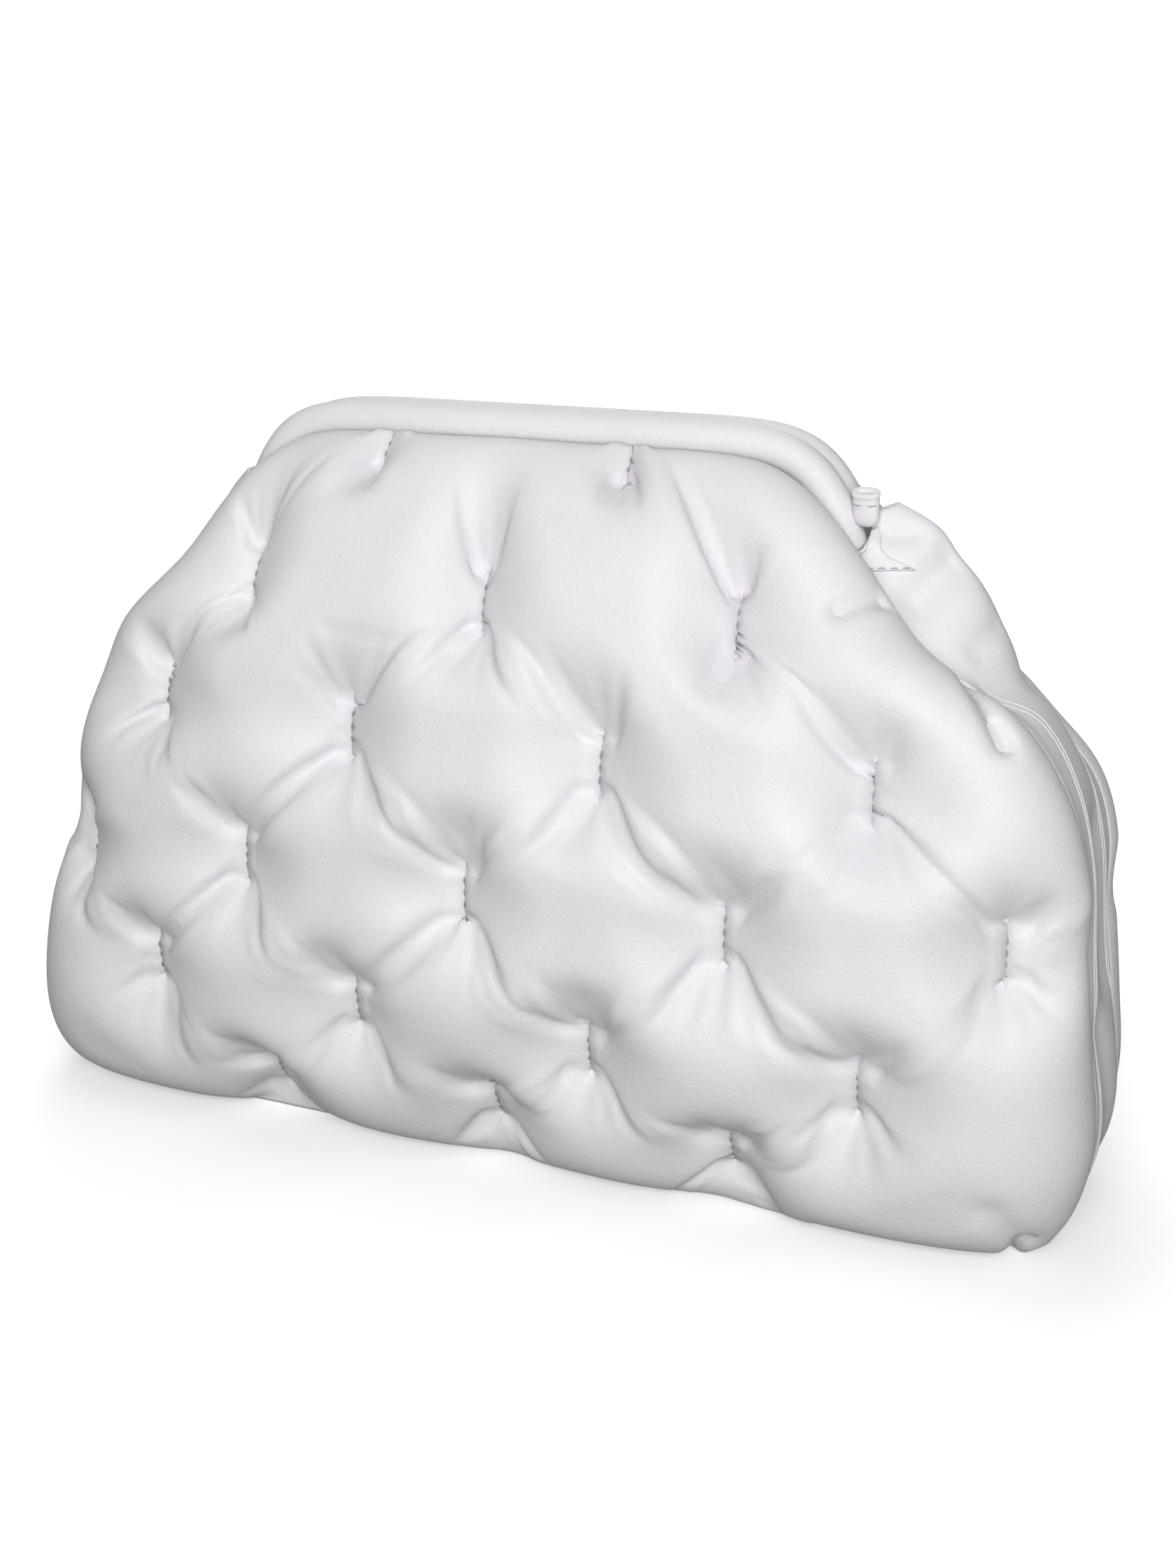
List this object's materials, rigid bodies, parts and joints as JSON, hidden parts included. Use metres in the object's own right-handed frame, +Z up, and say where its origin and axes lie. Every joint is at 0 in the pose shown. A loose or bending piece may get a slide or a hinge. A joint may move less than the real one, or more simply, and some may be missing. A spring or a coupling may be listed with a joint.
{
  "type": "leather clutch bag",
  "caption": "Soft white leather frame clutch with smocked panels of pinched tucks, a padded arched two-bar frame and wide side gussets.",
  "frame": {"origin": "middle of the base, on the floor under the bag", "axes": "+X along the width, to the right as pictured; +Y to the back; +Z up"},
  "size_m": [0.3536, 0.1174, 0.2262],
  "materials": {
    "white_leather": "soft matte nappa with a very fine grain",
    "hinge_metal": "plain satin metal"
  },
  "bodies": {
    "root": {"front_panel": "white_leather", "back_panel": "white_leather", "gusset_left": "white_leather", "gusset_right": "white_leather", "frame_front": "white_leather", "frame_back": "white_leather", "hinge_left": "hinge_metal", "hinge_right": "hinge_metal", "tab": "white_leather"}
  },
  "joints": []
}
